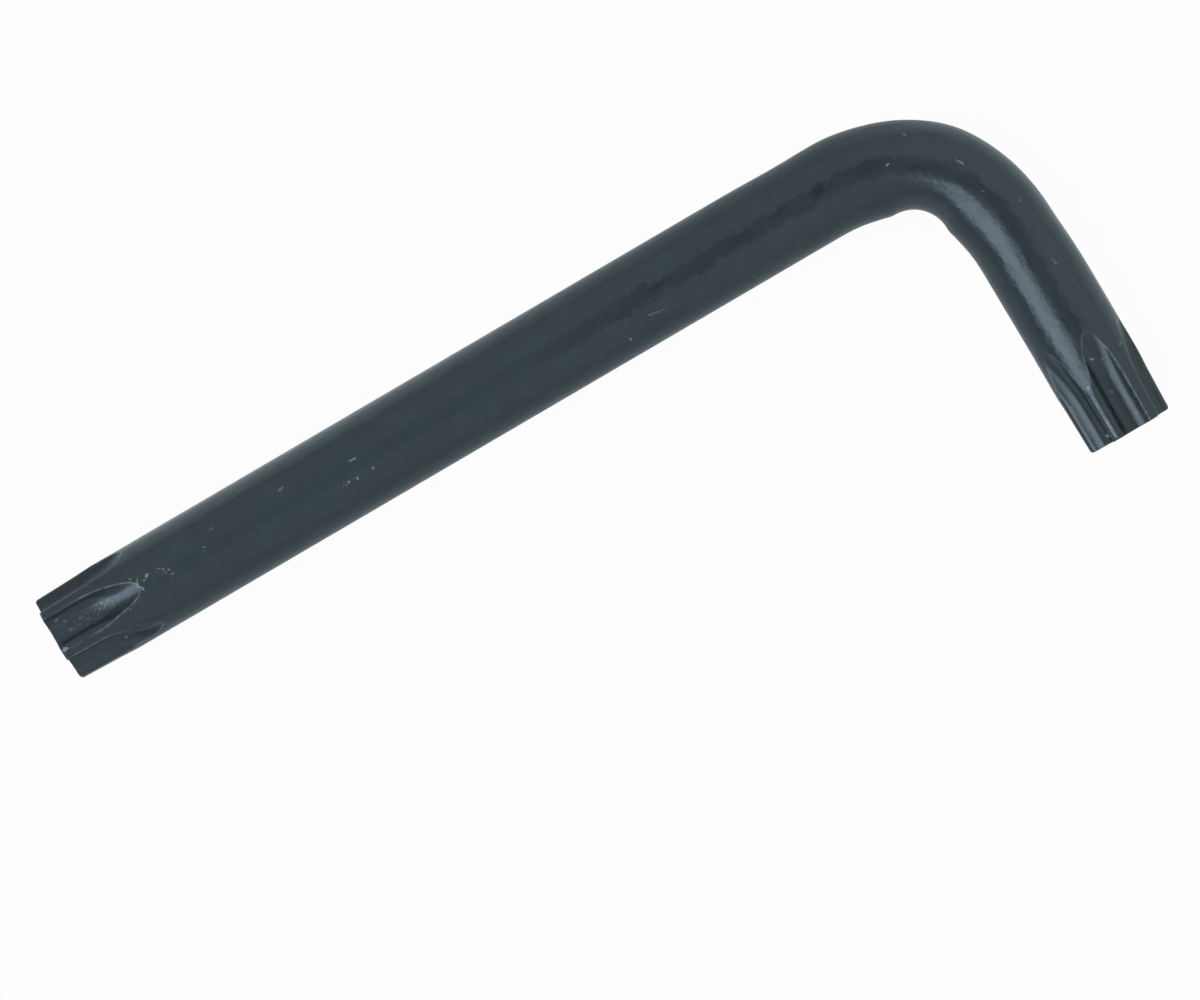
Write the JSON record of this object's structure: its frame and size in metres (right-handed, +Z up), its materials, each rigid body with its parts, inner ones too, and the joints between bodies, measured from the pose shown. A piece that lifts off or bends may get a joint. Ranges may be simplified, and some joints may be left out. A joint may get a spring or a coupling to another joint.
{
  "type": "star-drive key",
  "caption": "L-shaped hexalobular key bent from a round steel bar, with a fluted star-drive tip on each arm for turning recessed star-drive screws.",
  "frame": {"origin": "on the surface that the key lies on, under the middle of its overall length and width", "axes": "+X along the long arm towards its tip, +Y along the short arm towards its tip, +Z up off the surface"},
  "size_m": [0.1046, 0.0396, 0.0092],
  "materials": {
    "black_oxide_steel": "black oxide, semi-matt, lightly oiled"
  },
  "bodies": {
    "root": {"key": "black_oxide_steel"}
  },
  "joints": []
}
